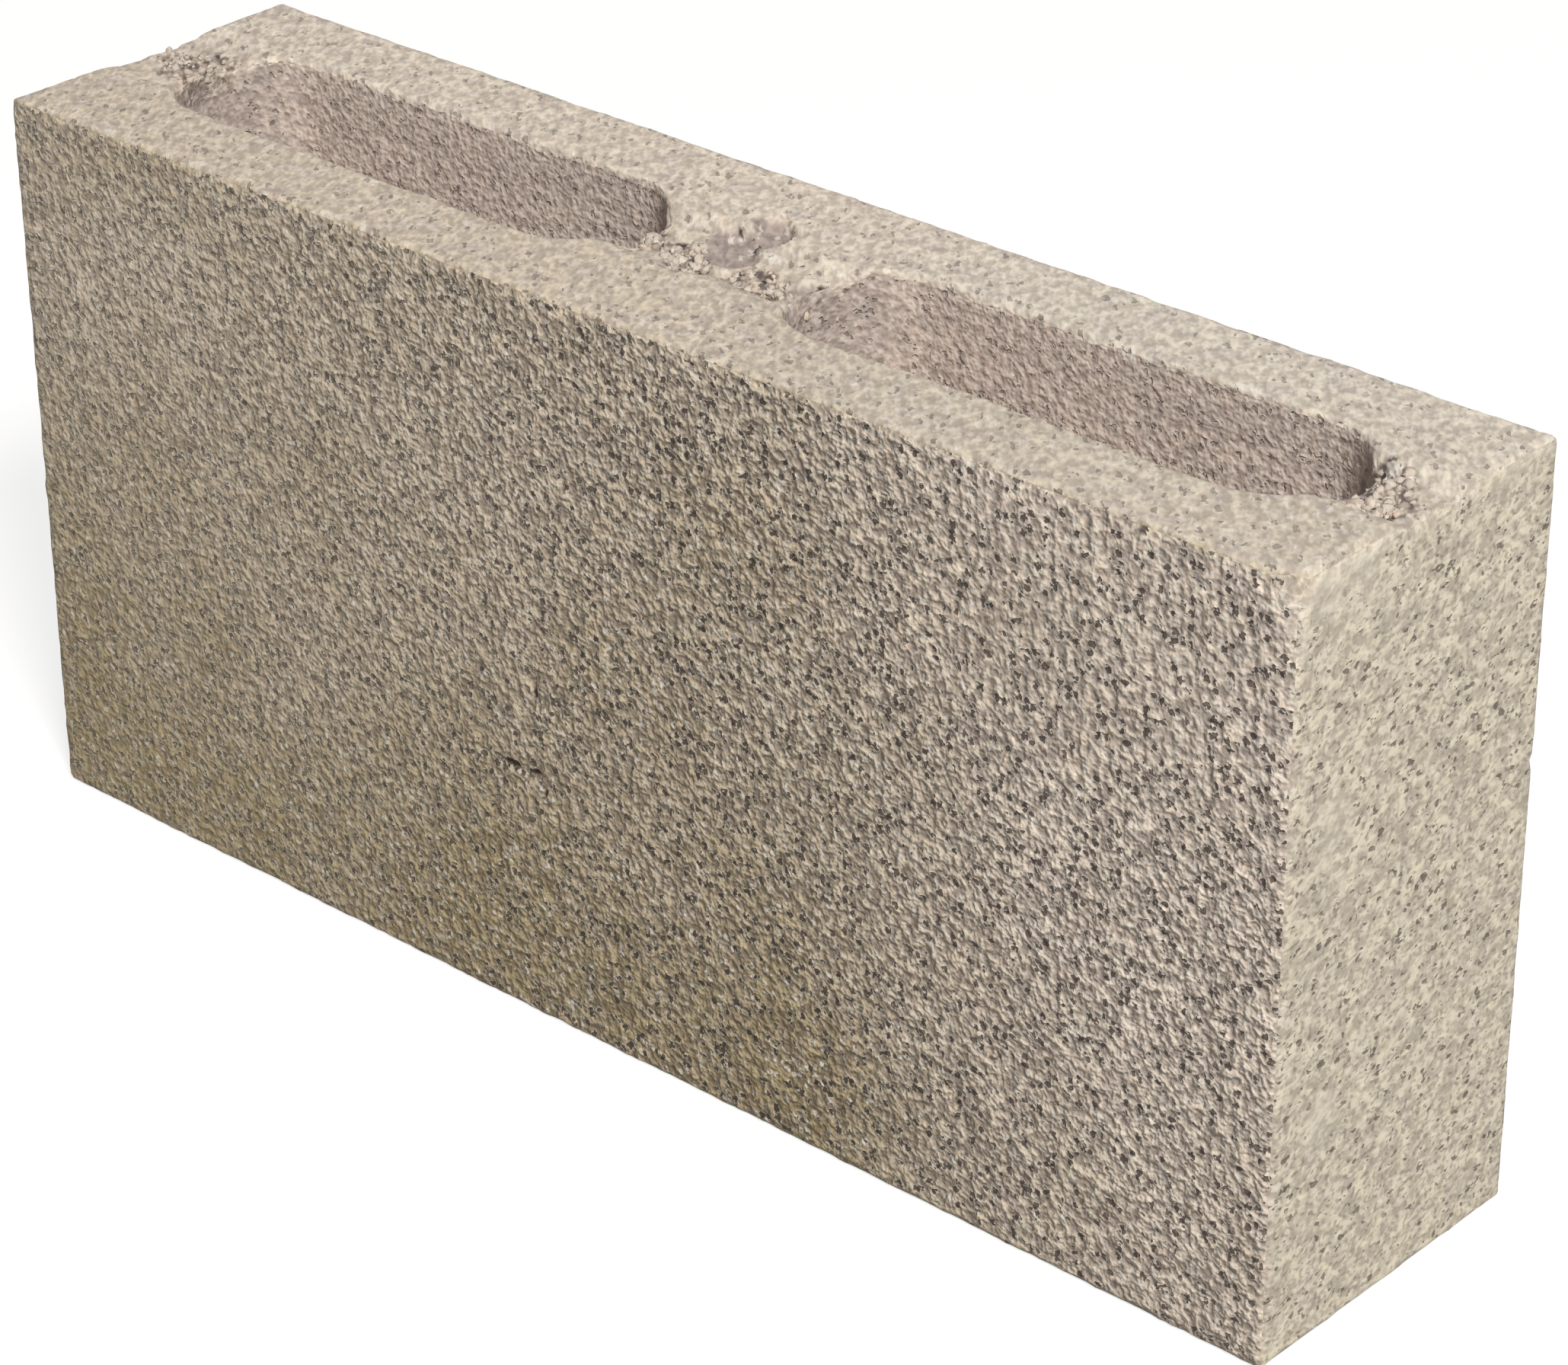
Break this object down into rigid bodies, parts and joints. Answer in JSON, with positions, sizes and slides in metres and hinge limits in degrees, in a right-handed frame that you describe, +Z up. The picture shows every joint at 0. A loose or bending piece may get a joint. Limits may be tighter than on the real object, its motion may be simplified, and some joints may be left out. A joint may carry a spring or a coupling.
{
  "type": "hollow concrete block",
  "caption": "Hollow concrete masonry block for a thin wall, with drafted obround cells and a core-bar channel across its webs.",
  "frame": {"origin": "middle of the bottom bed face", "axes": "+X along the wall, +Y through the wall away from the face that the picture shows, +Z up"},
  "size_m": [0.39, 0.09, 0.19],
  "materials": {
    "concrete": "matte open-textured block concrete"
  },
  "bodies": {
    "root": {"concrete_block": "concrete"}
  },
  "joints": []
}
